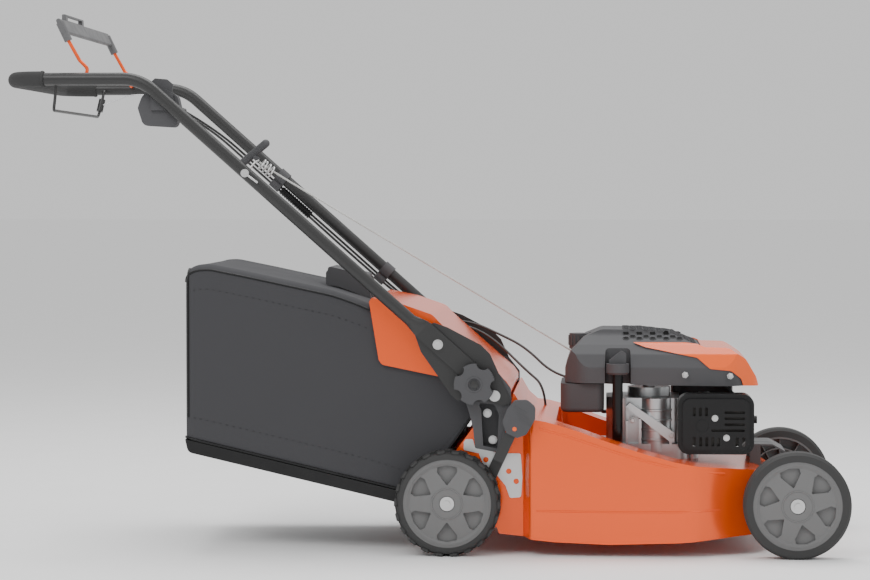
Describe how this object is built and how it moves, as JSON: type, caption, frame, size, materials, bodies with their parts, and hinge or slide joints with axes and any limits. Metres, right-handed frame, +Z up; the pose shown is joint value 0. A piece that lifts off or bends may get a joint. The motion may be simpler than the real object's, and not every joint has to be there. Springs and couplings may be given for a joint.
{
  "type": "walk-behind lawn mower",
  "caption": "Petrol walk-behind lawn mower with steel deck, engine under a shroud, folding loop handle, rear grass bag and four wheels on a joined height adjuster.",
  "frame": {"origin": "middle of the footprint's bounding box, on the ground", "axes": "+X forward along the direction of travel, +Y to the operator's left, +Z up"},
  "size_m": [1.6764, 0.593, 1.0753],
  "materials": {
    "orange_paint": "gloss",
    "black_paint": "satin",
    "charcoal_plastic": "fine grain",
    "wheel_plastic": "fine grain",
    "orange_plastic": "gloss",
    "tyre_rubber": "matte",
    "grip_foam": "fine grain",
    "cable_rubber": "satin",
    "bag_cloth": "woven",
    "rope": "braided",
    "bail_plastic": "satin",
    "zinc": "zinc plated",
    "cast_alloy": "as cast",
    "bright_steel": "ground"
  },
  "bodies": {
    "chassis": {"deck_shell": "orange_paint", "carry_strap": "bail_plastic", "post_brackets": "charcoal_plastic", "pivot_studs": "zinc", "case_bolts": "zinc", "height_sector": "zinc", "drive_belt": "cable_rubber", "blower_shroud": "charcoal_plastic", "shroud_trim": "orange_plastic", "sump_cover": "cast_alloy", "engine_block": "cast_alloy", "spark_plug": "cable_rubber", "carburettor": "cast_alloy", "air_filter_cover": "charcoal_plastic", "muffler_guard": "black_paint", "muffler": "bright_steel", "fuel_tank": "charcoal_plastic", "oil_tube": "black_paint", "drive_cable": "cable_rubber", "brake_cable": "cable_rubber", "starter_rope": "rope"},
    "handle": {"handle_plates": "black_paint", "handle_tube": "black_paint", "grip_sleeve": "grip_foam", "cable_clips": "charcoal_plastic", "speed_housing": "charcoal_plastic", "handle_hardware": "zinc"},
    "knob_right": {"star_knob_right": "charcoal_plastic"},
    "knob_left": {"star_knob_left": "charcoal_plastic"},
    "brake_bail": {"brake_bail_rods": "orange_paint", "brake_bail_cover": "bail_plastic"},
    "drive_bail_wire": {"drive_bail": "black_paint"},
    "throttle": {"speed_lever": "charcoal_plastic"},
    "starter_handle": {"starter_grip": "charcoal_plastic"},
    "flap": {"discharge_flap": "orange_paint"},
    "bag": {"bag_fabric": "bag_cloth", "bag_base": "charcoal_plastic", "bag_handle": "charcoal_plastic"},
    "rear_axle": {"rear_crank": "zinc", "gearbox": "cast_alloy"},
    "front_axle": {"front_crank": "zinc"},
    "drive_pulley": {"gearbox_pulley": "zinc"},
    "height_arm": {"height_lever": "black_paint", "height_lever_grip": "charcoal_plastic"},
    "height_rod": {"height_link": "zinc"},
    "rotor": {"crankshaft": "bright_steel", "flywheel": "cast_alloy", "blade_adapter": "bright_steel", "blade": "black_paint", "blade_bolt": "zinc"},
    "dipstick": {"dipstick_cap": "charcoal_plastic"},
    "filler_cap": {"fuel_cap": "charcoal_plastic"},
    "rear_wheel_right": {"rear_rim_right": "wheel_plastic", "rear_tyre_right": "tyre_rubber"},
    "rear_wheel_left": {"rear_rim_left": "wheel_plastic", "rear_tyre_left": "tyre_rubber"},
    "front_wheel_right": {"front_rim_right": "wheel_plastic", "front_tyre_right": "tyre_rubber"},
    "front_wheel_left": {"front_rim_left": "wheel_plastic", "front_tyre_left": "tyre_rubber"}
  },
  "joints": [
    {"name": "handle_fold", "type": "hinge", "parent": "chassis", "child": "handle", "pos_m": [0.14025, 0, 0.317], "axis": [0, 1, 0], "range_deg": [0, 120], "deforming": ["drive_cable", "brake_cable", "starter_rope"]},
    {"name": "knob_right_turn", "type": "hinge", "parent": "chassis", "child": "knob_right", "pos_m": [0.10125, 0, 0.341], "axis": [0, 1, 0], "continuous": true},
    {"name": "knob_left_turn", "type": "hinge", "parent": "chassis", "child": "knob_left", "pos_m": [0.10125, 0, 0.341], "axis": [0, 1, 0], "continuous": true},
    {"name": "brake_bail_squeeze", "type": "hinge", "parent": "handle", "child": "brake_bail", "pos_m": [-0.67475, 0, 0.948], "axis": [0, 1, 0], "range_deg": [-50, 0], "stiffness_Nm_per_rad": 1.2, "springref_deg": 20.05},
    {"name": "drive_bail_squeeze", "type": "hinge", "parent": "handle", "child": "drive_bail_wire", "pos_m": [-0.73375, 0, 0.937], "axis": [0, 1, 0], "range_deg": [0, 60], "stiffness_Nm_per_rad": 1, "springref_deg": -17.19},
    {"name": "speed_set", "type": "hinge", "parent": "handle", "child": "throttle", "pos_m": [-0.51875, 0, 0.904], "axis": [0, 1, 0], "range_deg": [-20, 20]},
    {"name": "starter_pull", "type": "slide", "parent": "handle", "child": "starter_handle", "axis": [-0.6211, 0.4208, 0.6612], "range_m": [0, 0.3], "stiffness_N_per_m": 30, "springref_m": -0.1},
    {"name": "flap_open", "type": "hinge", "parent": "chassis", "child": "flap", "pos_m": [0.15525, 0, 0.322], "axis": [0, 1, 0], "range_deg": [0, 18]},
    {"name": "bag_off", "type": "slide", "parent": "chassis", "child": "bag", "axis": [-1, 0, 0], "range_m": [0, 0.3]},
    {"name": "height_adjust", "type": "hinge", "parent": "chassis", "child": "rear_axle", "pos_m": [0.10925, 0, 0.106], "axis": [0, 1, 0], "range_deg": [-30, 12], "deforming": ["drive_belt"]},
    {"name": "front_height", "type": "hinge", "parent": "chassis", "child": "front_axle", "pos_m": [0.67125, 0, 0.106], "axis": [0, 1, 0], "range_deg": [-12, 30]},
    {"name": "height_lever_swing", "type": "hinge", "parent": "chassis", "child": "height_arm", "pos_m": [0.10925, 0, 0.106], "axis": [0, 1, 0], "range_deg": [-7.5, 18.75]},
    {"name": "height_rod_slide", "type": "slide", "parent": "chassis", "child": "height_rod", "axis": [1, 0, 0], "range_m": [-0.0142, 0.0057]},
    {"name": "crank_spin", "type": "hinge", "parent": "chassis", "child": "rotor", "pos_m": [0.44725, 0, 0], "axis": [0, 0, 1], "continuous": true},
    {"name": "drive_pulley_spin", "type": "hinge", "parent": "rear_axle", "child": "drive_pulley", "pos_m": [0.08325, 0, 0], "axis": [0, 0, 1], "continuous": true},
    {"name": "dipstick_out", "type": "slide", "parent": "chassis", "child": "dipstick", "axis": [0, 0, 1], "range_m": [0, 0.09]},
    {"name": "filler_cap_turn", "type": "hinge", "parent": "chassis", "child": "filler_cap", "pos_m": [0.30425, -0.018, 0], "axis": [0, 0, 1], "continuous": true},
    {"name": "rear_wheel_right_spin", "type": "hinge", "parent": "rear_axle", "child": "rear_wheel_right", "pos_m": [0.04725, 0, 0.105], "axis": [0, 1, 0], "continuous": true},
    {"name": "rear_wheel_left_spin", "type": "hinge", "parent": "rear_axle", "child": "rear_wheel_left", "pos_m": [0.04725, 0, 0.105], "axis": [0, 1, 0], "continuous": true},
    {"name": "front_wheel_right_spin", "type": "hinge", "parent": "front_axle", "child": "front_wheel_right", "pos_m": [0.73325, 0, 0.105], "axis": [0, 1, 0], "continuous": true},
    {"name": "front_wheel_left_spin", "type": "hinge", "parent": "front_axle", "child": "front_wheel_left", "pos_m": [0.73325, 0, 0.105], "axis": [0, 1, 0], "continuous": true}
  ],
  "couplings": [
    {"joint": "front_height", "follows": "height_adjust", "ratio": -1},
    {"joint": "height_lever_swing", "follows": "height_adjust", "ratio": -0.625},
    {"joint": "height_rod_slide", "follows": "height_adjust", "m_per_rad": 0.027},
    {"joint": "drive_pulley_spin", "follows": "crank_spin", "ratio": 1}
  ]
}
